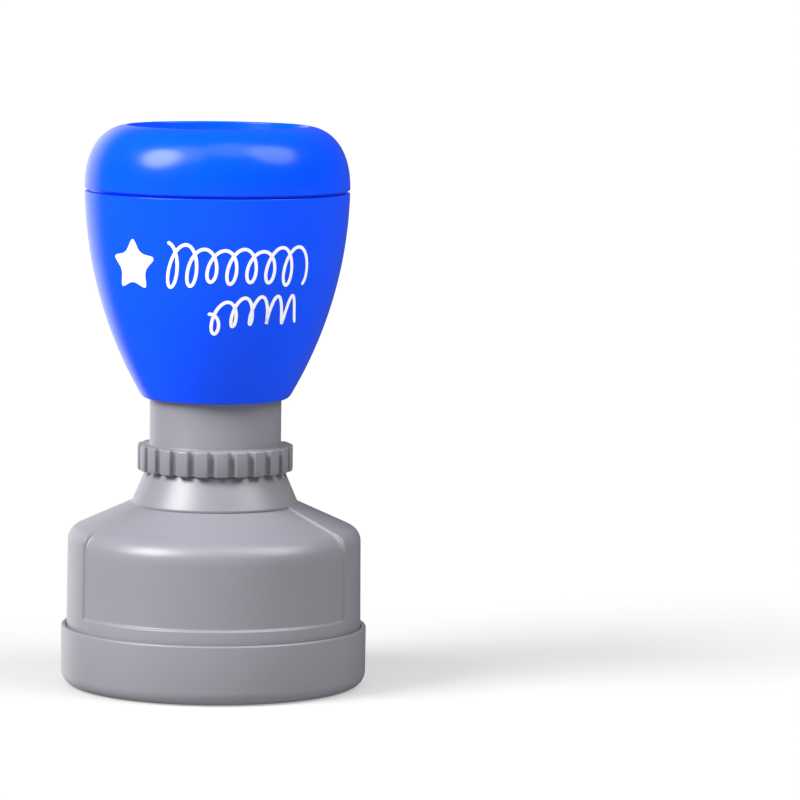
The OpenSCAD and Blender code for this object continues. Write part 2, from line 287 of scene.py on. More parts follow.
def polished_abs():
    material, tree, shader, place = new_material("polished_blue_abs", ior=1.53)
    shader.inputs["Specular IOR Level"].default_value = 0.22
    flow = add(tree, "ShaderNodeTexNoise", {"Vector": place, "Scale": per_mm(22), "Detail": 2})
    worn = {"Vector": place, "Scale": per_mm(6), "Detail": 4, "Roughness": 0.6}
    handled = add(tree, "ShaderNodeTexNoise", worn)
    peel = add(tree, "ShaderNodeTexNoise", {"Vector": place, "Scale": per_mm(4.5), "Detail": 1})
    peeled = dress(
        tree,
        shader,
        (flow.outputs["Fac"], "#004bfa", "#0052ff"),
        (handled.outputs["Fac"], 0.2, 0.26),
        (peel.outputs["Fac"], 0.012, 0.25),
    )
    scratched = {"Vector": place, "Scale": per_mm(0.5), "Detail": 2, "Distortion": 1.5}
    hairlines = add(tree, "ShaderNodeTexNoise", scratched).outputs["Fac"]
    raised = {"Height": hairlines, "Distance": 0.0012 * MM, "Strength": 0.2, "Normal": peeled}
    over_peel = add(tree, "ShaderNodeBump", raised).outputs["Normal"]
    tree.links.new(over_peel, shader.inputs["Normal"])
    return material


blue_abs = polished_abs()
print("made", blue_abs.name)

# %% [markdown]
# ## Grey body plastic
#
# The body is also ABS, but its tool was spark-eroded, which leaves a fine, even pebble that scatters the
# light: a satin, slightly violet grey. The pebble of the real surface is about 0.05 mm and would vanish, so
# it is drawn at 0.25 mm. Broad, faint clouds in colour and gloss stop the large walls from looking painted,
# and a little of the pebble is mixed into their colour.

# %% Satin grey ABS


def satin_abs():
    material, tree, shader, place = new_material("spark_textured_grey_abs", ior=1.53)
    shader.inputs["Specular IOR Level"].default_value = 0.45
    broad = {"Vector": place, "Scale": per_mm(14), "Detail": 3}
    clouds = add(tree, "ShaderNodeTexNoise", broad).outputs["Fac"]
    fine = {"Vector": place, "Scale": per_mm(0.25), "Detail": 1}
    speck = add(tree, "ShaderNodeTexNoise", fine).outputs["Fac"]
    ranged = {"Value": speck, "From Min": NOISE_LOW, "From Max": NOISE_HIGH, "To Min": 0, "To Max": 0.4}
    specks = add(tree, "ShaderNodeMapRange", ranged).outputs["Result"]
    mixed = add(tree, "ShaderNodeMath", {0: clouds, 1: 0.6, 2: specks}, operation="MULTIPLY_ADD")
    pebble = add(tree, "ShaderNodeTexNoise", {"Vector": place, "Scale": per_mm(0.25), "Detail": 2})
    dress(
        tree,
        shader,
        (mixed.outputs["Value"], "#7f7d84", "#848289"),
        (clouds, 0.33, 0.39),
        (pebble.outputs["Fac"], 0.008, 0.3),
    )
    return material


grey_abs = satin_abs()
print("made", grey_abs.name)

# %% [markdown]
# ## Ink, paper and polypropylene
#
# Pad-printed ink is a matt white film with a slight tooth. The label is coated paper, whose fibres still
# show as faint streaks, so its noise is distorted. The ink on it has soaked in unevenly. Polypropylene is a
# waxy white that lets a little light in, which a small subsurface weight gives.

# %% Ink, paper and polypropylene


def pad_print_ink():
    material, tree, shader, place = new_material("white_pad_print_ink", ior=1.48)
    tooth = {"Vector": place, "Scale": per_mm(0.4), "Detail": 3}
    film = add(tree, "ShaderNodeTexNoise", tooth).outputs["Fac"]
    dress(tree, shader, (film, "#fafbff", "#ffffff"), (film, 0.42, 0.55), (film, 0.004, 0.4))
    return material


def coated_paper():
    material, tree, shader, place = new_material("coated_label_paper", ior=1.5)
    matted = {"Vector": place, "Scale": per_mm(0.8), "Detail": 5, "Distortion": 2.0}
    fibres = add(tree, "ShaderNodeTexNoise", matted).outputs["Fac"]
    dress(tree, shader, (fibres, "#eceae4", "#f7f6f2"), (fibres, 0.35, 0.5), (fibres, 0.01, 0.3))
    return material


def printing_ink():
    material, tree, shader, place = new_material("blue_printing_ink", ior=1.48)
    blotched = {"Vector": place, "Scale": per_mm(1.2), "Detail": 4}
    soak = add(tree, "ShaderNodeTexNoise", blotched).outputs["Fac"]
    dress(tree, shader, (soak, "#1740c8", "#2350dd"), (soak, 0.4, 0.6), (soak, 0.006, 0.3))
    return material


def polypropylene():
    material, tree, shader, place = new_material("white_polypropylene", ior=1.49)
    shader.inputs["Subsurface Weight"].default_value = 0.15
    shader.inputs["Subsurface Radius"].default_value = (0.001, 0.001, 0.001)
    waxy = {"Vector": place, "Scale": per_mm(5), "Detail": 3}
    wax = add(tree, "ShaderNodeTexNoise", waxy).outputs["Fac"]
    fine = {"Vector": place, "Scale": per_mm(0.5), "Detail": 2}
    skin = add(tree, "ShaderNodeTexNoise", fine).outputs["Fac"]
    dress(tree, shader, (wax, "#dedfdc", "#e9e9e5"), (wax, 0.3, 0.42), (skin, 0.006, 0.3))
    return material


white_ink = pad_print_ink()
label_paper = coated_paper()
blue_ink = printing_ink()
white_pp = polypropylene()
print("made", white_ink.name, label_paper.name, blue_ink.name, white_pp.name)

# %% [markdown]
# ## Steel
#
# Spring wire is drawn through a die, which leaves it slightly brushed, so its noise is squeezed along one
# axis and the shader is a little anisotropic. The screws are zinc plated: a thin, bluish, blotchy metal
# skin. Both are metals, so they keep the default IOR and get their colour from the metal itself.

# %% Spring steel and zinc plate


def spring_steel():
    material, tree, shader, place = new_material("drawn_spring_steel", metallic=1.0)
    shader.inputs["Anisotropic"].default_value = 0.4
    squeezed = add(tree, "ShaderNodeMapping", {"Vector": place, "Scale": (1, 1, 6)}).outputs["Vector"]
    drawn = {"Vector": squeezed, "Scale": per_mm(0.6), "Detail": 4}
    streaks = add(tree, "ShaderNodeTexNoise", drawn).outputs["Fac"]
    dress(tree, shader, (streaks, "#8d8f94", "#b4b6ba"), (streaks, 0.22, 0.38), (streaks, 0.008, 0.4))
    return material


def zinc_plate():
    material, tree, shader, place = new_material("zinc_plated_steel", metallic=1.0)
    blotched = {"Vector": place, "Scale": per_mm(1.5), "Detail": 4}
    bloom = add(tree, "ShaderNodeTexNoise", blotched).outputs["Fac"]
    fine = {"Vector": place, "Scale": per_mm(0.25), "Detail": 2}
    grain = add(tree, "ShaderNodeTexNoise", fine).outputs["Fac"]
    dress(tree, shader, (bloom, "#b9bec6", "#cfd2d6"), (bloom, 0.2, 0.36), (grain, 0.005, 0.35))
    return material


spring_wire = spring_steel()
zinc_steel = zinc_plate()
print("made", spring_wire.name, zinc_steel.name)

# %% [markdown]
# ## Rubber, felt and foam
#
# Moulded rubber is nearly black and dull, with a greyish bloom. Felt is matted fibres, so its noise is
# strongly distorted, flattened to lie in the disc's plane, and has a soft sheen. Flash foam is an even
# open-cell sponge, which a Voronoi pattern of small cells gives. Both are soaked in blue ink.

# %% Rubber, felt and foam


def moulded_rubber():
    material, tree, shader, place = new_material("moulded_black_rubber", ior=1.52)
    dusty = {"Vector": place, "Scale": per_mm(2.5), "Detail": 5, "Roughness": 0.6}
    bloom = add(tree, "ShaderNodeTexNoise", dusty).outputs["Fac"]
    fine = {"Vector": place, "Scale": per_mm(0.3), "Detail": 3}
    skin = add(tree, "ShaderNodeTexNoise", fine).outputs["Fac"]
    dress(tree, shader, (bloom, "#191a1c", "#2b2c2e"), (bloom, 0.58, 0.78), (skin, 0.015, 0.5))
    return material


def inked_felt():
    material, tree, shader, place = new_material("ink_soaked_felt", ior=1.45)
    shader.inputs["Sheen Weight"].default_value = 0.3
    shader.inputs["Sheen Roughness"].default_value = 0.5
    flattened = add(tree, "ShaderNodeMapping", {"Vector": place, "Scale": (1, 1, 3)}).outputs["Vector"]
    matted = {"Vector": flattened, "Scale": per_mm(0.7), "Detail": 6, "Distortion": 3.0}
    fibres = add(tree, "ShaderNodeTexNoise", matted).outputs["Fac"]
    ranged = {"Value": fibres, "From Min": NOISE_LOW, "From Max": NOISE_HIGH}
    contrast = add(tree, "ShaderNodeMapRange", ranged).outputs["Result"]
    dress(tree, shader, (contrast, "#14206b", "#3042a8"), (fibres, 0.7, 0.95), (fibres, 0.12, 0.8))
    return material


def flash_foam():
    material, tree, shader, place = new_material("inked_flash_foam", ior=1.45)
    open_cells = {"Vector": place, "Scale": per_mm(0.35), "Randomness": 0.9}
    cells = add(tree, "ShaderNodeTexVoronoi", open_cells).outputs["Distance"]
    rims = add(tree, "ShaderNodeMapRange", {"Value": cells, "From Max": 0.6}).outputs["Result"]
    soaked = {"Vector": place, "Scale": per_mm(3), "Detail": 3}
    wet = add(tree, "ShaderNodeTexNoise", soaked).outputs["Fac"]
    dress(tree, shader, (rims, "#16257e", "#3a55c8"), (wet, 0.55, 0.8), (cells, 0.05, 0.6))
    return material


rubber = moulded_rubber()
felt = inked_felt()
foam = flash_foam()
print("made", rubber.name, felt.name, foam.name)

# %% [markdown]
# ## Dust cap
#
# The dust cap is a shallow tray with a ledge that carries the skirt, a rounded foot and a slight recess
# underneath so that it stands on a ring. It is turned in one sweep, from the middle of its underside round
# to the middle of its tray. Its wall stops a little short of the housing's skirt, and that thin dark gap is
# what tells the eye that they are two pieces.

# %% Turn the dust cap
cap_r = radius("base_cap")
cap_top = high("base_cap")
skirt_r = radius("bell_housing")
CAP_GAP = 0.14
CAP_DRAFT = 0.05
FOOT_FILLET = 2.35
RECESS_R = 18.5
RECESS_Z = 0.5
TRAY_Z = 1.8
LEDGE_R = 23.2
LEDGE_Z = 2.4

underside = [(0, RECESS_Z), (RECESS_R, RECESS_Z, 0.3), (RECESS_R + RECESS_Z, 0, 0.15)]
outside = [(cap_r - CAP_DRAFT, 0, FOOT_FILLET), (cap_r, cap_top, 0.3), (skirt_r + CAP_GAP, cap_top, 0.16)]
tray = [
    (skirt_r + CAP_GAP, LEDGE_Z, 0.3),
    (LEDGE_R, LEDGE_Z, 0.12),
    (LEDGE_R, TRAY_Z, 0.12),
    (0, TRAY_Z),
]
bm = bmesh.new()
lathe(bm, rounded(underside + outside + tray, closed=False), closed=False)
dust_cap = into_object(bm, "dust_cap", grey_abs)
stand_for(dust_cap, "base_cap")

# %% [markdown]
# ## Handle cap
#
# The crown of the handle is a fat superellipse quarter: fuller than a circle, so the dome stays broad
# before it turns down to the seam. A round dish is sunk in the top for an index label. Below the seam the
# cap has a skirt that plugs into the handle. All of it turns on one axis, so one outline is enough, and only
# the dome needs a formula. The same formula, drawn in by the wall, gives its inner side.

# %% The dome's curve
HANDLE_R = 22.5
HANDLE_TOP = high("handle_body")
CAP_LOW = HANDLE_TOP + 0.55
DOME_IN_R = 14.2
DOME_H = 10.7
DOME_POWER = 2.3


def dome(inset, start, end, steps=40):
    """Points up the superellipse quarter of the crown, between two of its angles in degrees."""
    points = []
    for i in range(steps + 1):
        turn = radians(start + (end - start) * i / steps)
        across = (HANDLE_R - DOME_IN_R - inset) * cos(turn) ** (2 / DOME_POWER)
        up = (DOME_H - inset) * sin(turn) ** (2 / DOME_POWER)
        points.append((DOME_IN_R + across, CAP_LOW + up))
    return points


print("the dome rises from", CAP_LOW, "to", dome(0, 0, 90)[-1][1])

# %% [markdown]
# The outline starts on the floor of the dish, goes over its lip and down the dome to the seam, round the
# skirt, and back up the inside. A small step at the seam leaves the thin dark line that is seen there.

# %% Turn the handle cap
CROWN = high("handle_cap")
DISH_R = 15.4
DISH_FLOOR = low("label_disc")
DISH_FOOT = (DISH_R - 0.45, DISH_FLOOR)
DISH_LIP = 0.32
CAP_WALL = 2
SEAM_IN_R = 21.7
SEAM_FILLET = 0.16
CAP_SKIRT_R = 20.4
CAP_SKIRT_IN_R = 18.9
CAP_SKIRT_LOW = low("handle_cap")
DISH_UNDER = DISH_FLOOR - 1.8
cap_edge = CAP_LOW - SEAM_FILLET / 2
shelf = HANDLE_TOP + 0.05

rim_turn = degrees(acos(((DISH_R - DOME_IN_R) / (HANDLE_R - DOME_IN_R)) ** (DOME_POWER / 2)))
crown_side = [p for p in dome(0, 0, rim_turn) if p[1] > CAP_LOW + 0.2]
inside = [p for p in dome(CAP_WALL, 8, 80, 16) if p[1] < DISH_UNDER - 0.3 and p[0] < CAP_SKIRT_R - 0.3]
bm = bmesh.new()
cap_outline = (
    [(0, DISH_FLOOR), (DISH_R - 0.85, DISH_FLOOR)]
    + fillet((0, DISH_FLOOR), DISH_FOOT, (DISH_R - 0.2, CROWN), 0.4)
    + arc(DISH_R + 0.12, CROWN - DISH_LIP, DISH_LIP, 172, 92, 6)
    + list(reversed(crown_side))
    + fillet((HANDLE_R, CAP_LOW), (HANDLE_R, cap_edge), (SEAM_IN_R, cap_edge), SEAM_FILLET)
    + [(SEAM_IN_R, cap_edge), (SEAM_IN_R, shelf), (CAP_SKIRT_R, shelf)]
    + fillet((CAP_SKIRT_R, shelf), (CAP_SKIRT_R, CAP_SKIRT_LOW), (CAP_SKIRT_IN_R, CAP_SKIRT_LOW), 0.4)
    + fillet((CAP_SKIRT_R, CAP_SKIRT_LOW), (CAP_SKIRT_IN_R, CAP_SKIRT_LOW), (CAP_SKIRT_IN_R, CAP_LOW), 0.4)
    + [(CAP_SKIRT_IN_R, CAP_LOW)]
    + inside
    + [(12.2, DISH_UNDER), (0, DISH_UNDER)]
)
lathe(bm, cap_outline, closed=False)
handle_cap = into_object(bm, "handle_cap_shell", blue_abs)
stand_for(handle_cap, "handle_cap")

# %% [markdown]
# ## Handle
#
# The handle's side is a single arc of a large circle, which narrows to a rounded foot and ends in a hole
# that slides over the sleeve. Inside there is a web with a boss for the filler plug. Both faces of the wall
# are swept together, so the open top shows a true wall when the cap is off.

# %% The side's curve
SIDE_ARC = 71.2
SIDE_Z = 85.6


def side(z, inset=0):
    """Radius of the handle's side at a height."""
    return HANDLE_R - SIDE_ARC + sqrt((SIDE_ARC - inset) ** 2 - (z - SIDE_Z) ** 2)


def side_points(start, end, inset, steps=30):
    """Points up the side between two heights, for a wall set in by some millimetres."""
    heights = [start + (end - start) * i / steps for i in range(steps + 1)]
    return [(side(z, inset), z) for z in heights]


print("the side is widest at", SIDE_Z, "and", round(side(low("handle_body")), 2), "in radius at its foot")

# %% [markdown]
# The outline starts at the hole in the foot, goes up the outside to the mouth, down the inside to the web
# with its boss, and then under the web back to the foot.

# %% Turn the handle
FOOT = low("handle_body")
FOOT_ROUND = 1.6
BORE_R = 11.4
HANDLE_WALL = 2
WEB_LOW = 64.0
WEB_TOP = 66.0
MOUTH_R = 20.5
MOUTH_FLOOR = 78.5
BOSS_R = 3.6
FILLER_R = 2.4
FILLER_TOP = low("filler_plug") + 2.95

foot_z = FOOT + FOOT_ROUND
foot_x = side(foot_z, FOOT_ROUND)
foot_turn = degrees(asin((foot_z - SIDE_Z) / (SIDE_ARC - FOOT_ROUND)))
rim = (side(HANDLE_TOP), HANDLE_TOP)
below_rim = (side(HANDLE_TOP - 1), HANDLE_TOP - 1)
web_edge = (side(WEB_TOP, HANDLE_WALL), WEB_TOP)
above_web = (side(WEB_TOP + 1, HANDLE_WALL), WEB_TOP + 1)
bm = bmesh.new()
handle_outline = (
    fillet((BORE_R, WEB_LOW), (BORE_R, FOOT), (foot_x, FOOT), 0.2)
    + arc(foot_x, foot_z, FOOT_ROUND, -90, foot_turn, 10)
    + side_points(foot_z + 0.9, HANDLE_TOP - 0.5, 0)
    + fillet(below_rim, rim, (MOUTH_R, HANDLE_TOP), SEAM_FILLET)
    + fillet(rim, (MOUTH_R, HANDLE_TOP), (MOUTH_R, MOUTH_FLOOR), 0.2)
    + [(MOUTH_R, MOUTH_FLOOR)]
    + side_points(MOUTH_FLOOR - 0.6, WEB_TOP + 1, HANDLE_WALL, 12)
    + fillet(above_web, web_edge, (BOSS_R, WEB_TOP), 0.8)
    + fillet(web_edge, (BOSS_R, WEB_TOP), (BOSS_R, FILLER_TOP), 0.3)
    + fillet((BOSS_R, WEB_TOP), (BOSS_R, FILLER_TOP), (FILLER_R, FILLER_TOP), 0.2)
    + [(FILLER_R, FILLER_TOP), (FILLER_R, WEB_LOW)]
    + side_points(WEB_LOW, FOOT + 3.2, HANDLE_WALL, 12)
    + [(BORE_R, FOOT + 2.6)]
)
lathe(bm, handle_outline)
handle = into_object(bm, "handle_shell", blue_abs)
stand_for(handle, "handle_body")

# %% [markdown]
# ## Housing
#
# The housing is a turned shell too: skirt, rounded shoulder, sloped roof and neck. Its outline starts with
# the skirt and the shoulder, which the outside and the inside share, so one function draws both.

# %% The skirt's and the shoulder's curve
ROOF_SLOPE = radians(24.5)
SHOULDER = 2.5
NECK = (14.15, 31.32)
COLLAR = (11.85, 36.7)
SKIRT_TOP_R = skirt_r - 0.12
ROWS = 16
ROUND_X = SKIRT_TOP_R - SHOULDER
ROUND_Z = NECK[1] - (SHOULDER + (ROUND_X - NECK[0]) * sin(ROOF_SLOPE)) / cos(ROOF_SLOPE)


def skirt_curve(inset, start_z, arc_steps):
    """Points up a skirt and round its shoulder, for a wall set in by some millimetres."""
    round_part = arc(ROUND_X, ROUND_Z, SHOULDER - inset, 0, 90 - degrees(ROOF_SLOPE), arc_steps)
    rows = [start_z + (ROUND_Z - start_z) * i / ROWS for i in range(ROWS)]
    wall = [(skirt_r - inset - (skirt_r - SKIRT_TOP_R) * i / ROWS, z) for i, z in enumerate(rows)]
    return wall + round_part


print("the shoulder is rounded about a circle at", round(ROUND_X, 2), round(ROUND_Z, 2))

# %% Turn the housing
WALL = 1.75
MOUTH = low("bell_housing")
GUIDE_R = 7.6
GUIDE_FOOT_R = GUIDE_R + 2
GUIDE_LOW = 22.0
SPIGOT_R = 9.0
SPIGOT_TOP = high("bell_housing")
POCKET_TOP = 35.1
PANEL_Z = 12.45

outer = skirt_curve(0, PANEL_Z, 12)
roof_end = Vector(outer[-1])
roof = [tuple(roof_end.lerp(Vector(NECK), i / ROWS)) for i in range(1, ROWS)]
inner = skirt_curve(WALL, MOUTH + 1, 6)
bm = bmesh.new()
housing_outline = (
    fillet((skirt_r - WALL, MOUTH), (skirt_r, MOUTH), (skirt_r, PANEL_Z), 0.3)
    + outer
    + roof
    + fillet(roof[-1], NECK, COLLAR, 0.3)
    + fillet(NECK, COLLAR, (SPIGOT_R, COLLAR[1]), 0.2)
    + [(SPIGOT_R, COLLAR[1])]
    + fillet((SPIGOT_R, COLLAR[1]), (SPIGOT_R, SPIGOT_TOP), (GUIDE_R, SPIGOT_TOP), 0.3)
    + [(GUIDE_R, SPIGOT_TOP), (GUIDE_R, GUIDE_LOW), (GUIDE_FOOT_R, GUIDE_LOW), (GUIDE_FOOT_R, POCKET_TOP)]
    + [(11.0, POCKET_TOP), (NECK[0] - 1.4, NECK[1] - 1.6)]
    + list(reversed(inner))
    + [(skirt_r - WALL, MOUTH)]
)
lathe(bm, housing_outline)
print("housing outline:", len(housing_outline), "points")

# %% [markdown]
# Front and back each have a shallow panel let into them. The panels could be cut with a boolean, but on a
# clean sweep it is simpler and neater to select the faces that the panel covers and inset them as a region,
# which makes the step all round in one go. The panel turns from wall to roof with a rounder shoulder than
# the frame round it, so its points there are moved onto a larger circle that touches the same two lines. The
# step's edges are then bevelled, to catch a thin line of light.

# %% Let the panels in
PANEL_DEPTH = 0.4
PANEL_HALF = 62
PANEL_SHOULDER = 3.9
STEP_WIDTH = 0.24
STEP_BEVEL = 0.16
UNDERSIDE = -0.2


def on_panel(face):
    """True for a face of the skirt, shoulder or roof that a front or back panel covers."""
    middle = face.calc_center_median()
    r = hypot(middle.x, middle.y)
    from_front = degrees(atan2(middle.x, abs(middle.y)))
    outward = face.normal.x * middle.x + face.normal.y * middle.y > 0
    on_skin = outward and face.normal.z > UNDERSIDE and PANEL_Z < middle.z < NECK[1] and r > NECK[0]
    return on_skin and abs(from_front) < PANEL_HALF


panel_faces = [f for f in bm.faces if on_panel(f)]
step = bmesh.ops.inset_region(
    bm,
    faces=panel_faces,
    thickness=STEP_WIDTH,
    depth=-PANEL_DEPTH,
    use_even_offset=True,
    use_boundary=True,
)
half_bend = (pi / 2 - ROOF_SLOPE) / 2
slide = (PANEL_SHOULDER - SHOULDER + PANEL_DEPTH) / cos(half_bend)
soft = Vector((ROUND_X - slide * cos(half_bend), ROUND_Z - slide * sin(half_bend)))
for vert in {v for f in panel_faces for v in f.verts}:
    r = hypot(vert.co.x, vert.co.y)
    from_soft = Vector((r, vert.co.z)) - soft
    if 0 < atan2(from_soft.y, from_soft.x) < 2 * half_bend:
        on_round = soft + from_soft.normalized() * PANEL_SHOULDER
        vert.co = (vert.co.x * on_round.x / r, vert.co.y * on_round.x / r, on_round.y)
step_faces = set(step["faces"])
step_edges = [e for e in bm.edges if len({f in step_faces for f in e.link_faces}) == 2]
bmesh.ops.bevel(
    bm, geom=step_edges, offset=STEP_BEVEL, segments=3, profile=0.5, affect="EDGES", material=-1
)
print("panel faces", len(panel_faces), "step faces", len(step_faces), "bevelled edges", len(step_edges))

# %% [markdown]
# The sleeve climbs a real two-start thread, and when it is turned up the first ridges show in the gap. A
# spin that also shifts along its axis draws a helix, so each start is one small trapezoid spun that way.

# %% Cut the thread on the spigot and finish the housing
LEAD = 3.0
RIDGE_IN = SPIGOT_R - 0.1
RIDGE_OUT = SPIGOT_R + 0.5
THREAD_LOW = COLLAR[1] + 0.1
THREAD_RISE = SPIGOT_TOP - 1.1 - THREAD_LOW
THREAD_STEPS = 60


def thread_start(turn):
    """One helical ridge, as a closed solid sunk slightly into the spigot, in a bmesh of its own."""
    one = bmesh.new()
    ridge = [(RIDGE_IN, 0.0), (RIDGE_OUT, 0.3), (RIDGE_OUT, 0.55), (RIDGE_IN, 0.85)]
    section = one.faces.new([one.verts.new((r, 0, THREAD_LOW + z)) for r, z in ridge])
    turns = THREAD_RISE / LEAD
    steps = int(turns * THREAD_STEPS)
    bmesh.ops.spin(
        one,
        geom=[section],
        cent=(0, 0, 0),
        axis=(0, 0, 1),
        dvec=(0, 0, THREAD_RISE / steps),
        angle=2 * pi * turns,
        steps=steps,
    )
    bmesh.ops.rotate(one, verts=one.verts, cent=(0, 0, 0), matrix=Matrix.Rotation(turn, 3, "Z"))
    bmesh.ops.recalc_face_normals(one, faces=one.faces)
    return one


def join(bm, other):
    """Adds a second bmesh to the first and frees it."""
    carrier = bpy.data.meshes.new("carrier")
    other.to_mesh(carrier)
    other.free()
    bm.from_mesh(carrier)
    bpy.data.meshes.remove(carrier)


for start_turn in (0, pi):
    join(bm, thread_start(start_turn))
housing = into_object(bm, "housing_shell", grey_abs)
stand_for(housing, "bell_housing")

# %% [markdown]
# ## Adjusting sleeve
#
# The sleeve is turned except for its knurled flange, whose teeth have round-bottomed gaps and rounded
# corners. One ring of points can follow that outline, and the same ring drawn in by the rounding radius
# makes the rounded top edge. So the piece is built as a stack of rings with the same number of points each,
# extruded one from the next and bridged back to the first.

# %% Work out the tooth outline
TEETH = 24
FIRST_GAP = radians(-92.5)
KNURL_R = 13.25
KNURL_DEPTH = 0.95
GAP_HALF = 0.575
TOOTH_ROUND = 0.3


def tooth_outline(inset):
    """Half a tooth, from the middle of a gap to the middle of the tooth, as (radius, turn) pairs."""
    gap_centre = KNURL_R - KNURL_DEPTH + GAP_HALF
    corner_y = GAP_HALF + TOOTH_ROUND
    corner_x = sqrt((KNURL_R - TOOTH_ROUND) ** 2 - corner_y**2)
    corner_turn = degrees(atan2(corner_y, corner_x))
    gap = arc(gap_centre, 0, GAP_HALF + inset, 180, 90, 4)
    corner = arc(corner_x, corner_y, TOOTH_ROUND - inset, -90, corner_turn, 4)
    flat = [corner_turn + (180 / TEETH - corner_turn) * i / 3 for i in (1, 2)]
    top = [((KNURL_R - inset) * cos(radians(t)), (KNURL_R - inset) * sin(radians(t))) for t in flat]
    points = gap + corner + top
    return [(hypot(x, y), atan2(y, x)) for x, y in points]


def knurl_ring(inset):
    """The whole knurled outline as (radius, turn) pairs, round from one gap's middle."""
    half = tooth_outline(inset)
    pitch = 2 * pi / TEETH
    middle = [(KNURL_R - inset, pitch / 2)]
    tooth = half + middle + [(r, pitch - t) for r, t in reversed(half[1:])]
    return [(r, FIRST_GAP + i * pitch + t) for i in range(TEETH) for r, t in tooth]


RING_POINTS = len(knurl_ring(0))
print("points round the knurl:", RING_POINTS)

# %% [markdown]
# The stack goes up the outside from the foot to the top end, and the last ring is bridged to the first down
# the bore. Each extruded ring has to keep the order of the one below it, so that its points can be laid on
# the outline one by one. It is found again by following the edge from each point to its new neighbour.

# %% Extrude the sleeve ring by ring
SLEEVE_LOW = low("adjusting_sleeve")
SLEEVE_TOP = high("adjusting_sleeve")
FLANGE_TOP = 41.1
SLEEVE_R = 11.2
SLEEVE_BORE = 9.62
turns = [t for _, t in knurl_ring(0)]


def plain_ring(r):
    return [(r, t) for t in turns]


rings = [
    (plain_ring(SLEEVE_BORE), SLEEVE_LOW),
    (knurl_ring(0.22), SLEEVE_LOW),
    (knurl_ring(0.07), SLEEVE_LOW + 0.07),
    (knurl_ring(0.0), SLEEVE_LOW + 0.24),
    (knurl_ring(0.0), FLANGE_TOP - 0.3),
    (knurl_ring(0.04), FLANGE_TOP - 0.15),
    (knurl_ring(0.13), FLANGE_TOP - 0.05),
    (knurl_ring(0.28), FLANGE_TOP),
    (plain_ring(SLEEVE_R + 0.35), FLANGE_TOP),
    (plain_ring(SLEEVE_R + 0.1), FLANGE_TOP + 0.1),
    (plain_ring(SLEEVE_R), FLANGE_TOP + 0.35),
    (plain_ring(SLEEVE_R), SLEEVE_TOP - 0.3),
    (plain_ring(SLEEVE_R - 0.3), SLEEVE_TOP),
    (plain_ring(SLEEVE_BORE), SLEEVE_TOP),
]
bm = bmesh.new()
loop = bmesh.ops.create_circle(bm, segments=RING_POINTS, radius=1)["verts"]
first_edges = list(bm.edges)
edges = first_edges
for count, (ring, height) in enumerate(rings):
    if count:
        made = bmesh.ops.extrude_edge_only(bm, edges=edges)["geom"]
        new = {g for g in made if isinstance(g, bmesh.types.BMVert)}
        loop = [next(e.other_vert(v) for e in v.link_edges if e.other_vert(v) in new) for v in loop]
        edges = [g for g in made if isinstance(g, bmesh.types.BMEdge) and set(g.verts) <= new]
    for vert, (r, turn) in zip(loop, ring):
        vert.co = (r * cos(turn), r * sin(turn), height)
bmesh.ops.bridge_loops(bm, edges=first_edges + edges)
bmesh.ops.recalc_face_normals(bm, faces=bm.faces)
sleeve = into_object(bm, "knurled_sleeve", grey_abs)
stand_for(sleeve, "adjusting_sleeve")

# %% [markdown]
# ## Return spring
#
# The spring is wire coiled round the rod, with one closed turn at each end so that it stands square.
# Spinning a small circle with a shift along the axis draws each stretch of the helix at its own pitch. It
# rides on the spring's own body and is given a mesh of its own.

# %% Coil the spring
WIRE_D = 1.2
COIL_R = 8.6
COIL_TURNS = 8
CLOSED_PITCH = WIRE_D * 1.04
SPRING_LOW = low("return_spring")
SPRING_TOP = high("return_spring")
WIRE_SIDES = 14
WIRE_SHARP = radians(50)
STEPS_A_TURN = 48

open_rise = SPRING_TOP - SPRING_LOW - WIRE_D - 2 * CLOSED_PITCH
stretches = [(1, CLOSED_PITCH), (COIL_TURNS - 2, open_rise), (1, CLOSED_PITCH)]
bm = bmesh.new()
wire = bmesh.ops.create_circle(bm, cap_ends=True, segments=WIRE_SIDES, radius=WIRE_D / 2)["verts"]
bmesh.ops.rotate(bm, verts=wire, cent=(0, 0, 0), matrix=Matrix.Rotation(pi / 2, 3, "X"))
bmesh.ops.translate(bm, verts=wire, vec=(COIL_R, 0, SPRING_LOW + WIRE_D / 2))
end = list(bm.faces)
for coil_turns, rise in stretches:
    steps = int(coil_turns * STEPS_A_TURN)
    made = bmesh.ops.spin(
        bm,
        geom=end,
        cent=(0, 0, 0),
        axis=(0, 0, 1),
        dvec=(0, 0, rise / steps),
        angle=2 * pi * coil_turns,
        steps=steps,
    )
    end = [g for g in made["geom_last"] if isinstance(g, bmesh.types.BMFace)]
bmesh.ops.recalc_face_normals(bm, faces=bm.faces)
spring = into_object(bm, "coil_spring", spring_wire, sharp=WIRE_SHARP)
stand_for(spring, "return_spring")
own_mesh(spring)

# %% [markdown]
# ## Turned inner pieces
#
# The washer, plug, felt, pad and frame are all turned, so each is a short outline with small fillets. The
# corners of a real moulding or die-cut are never quite sharp, and those fillets are what shows it.

# %% Turn the washer, plug and frame
WASHER_IN_R = 9.8
WASHER_R = 11.05
washer_low = low("stop_washer")
washer_top = high("stop_washer")
washer_outline = [
    (WASHER_IN_R, washer_low, 0.2),
    (WASHER_R, washer_low, 0.2),
    (WASHER_R, washer_top, 0.25),
    (WASHER_IN_R, washer_top, 0.25),
]
bm = bmesh.new()
lathe(bm, rounded(washer_outline))
stand_for(into_object(bm, "rubber_washer", rubber), "stop_washer")

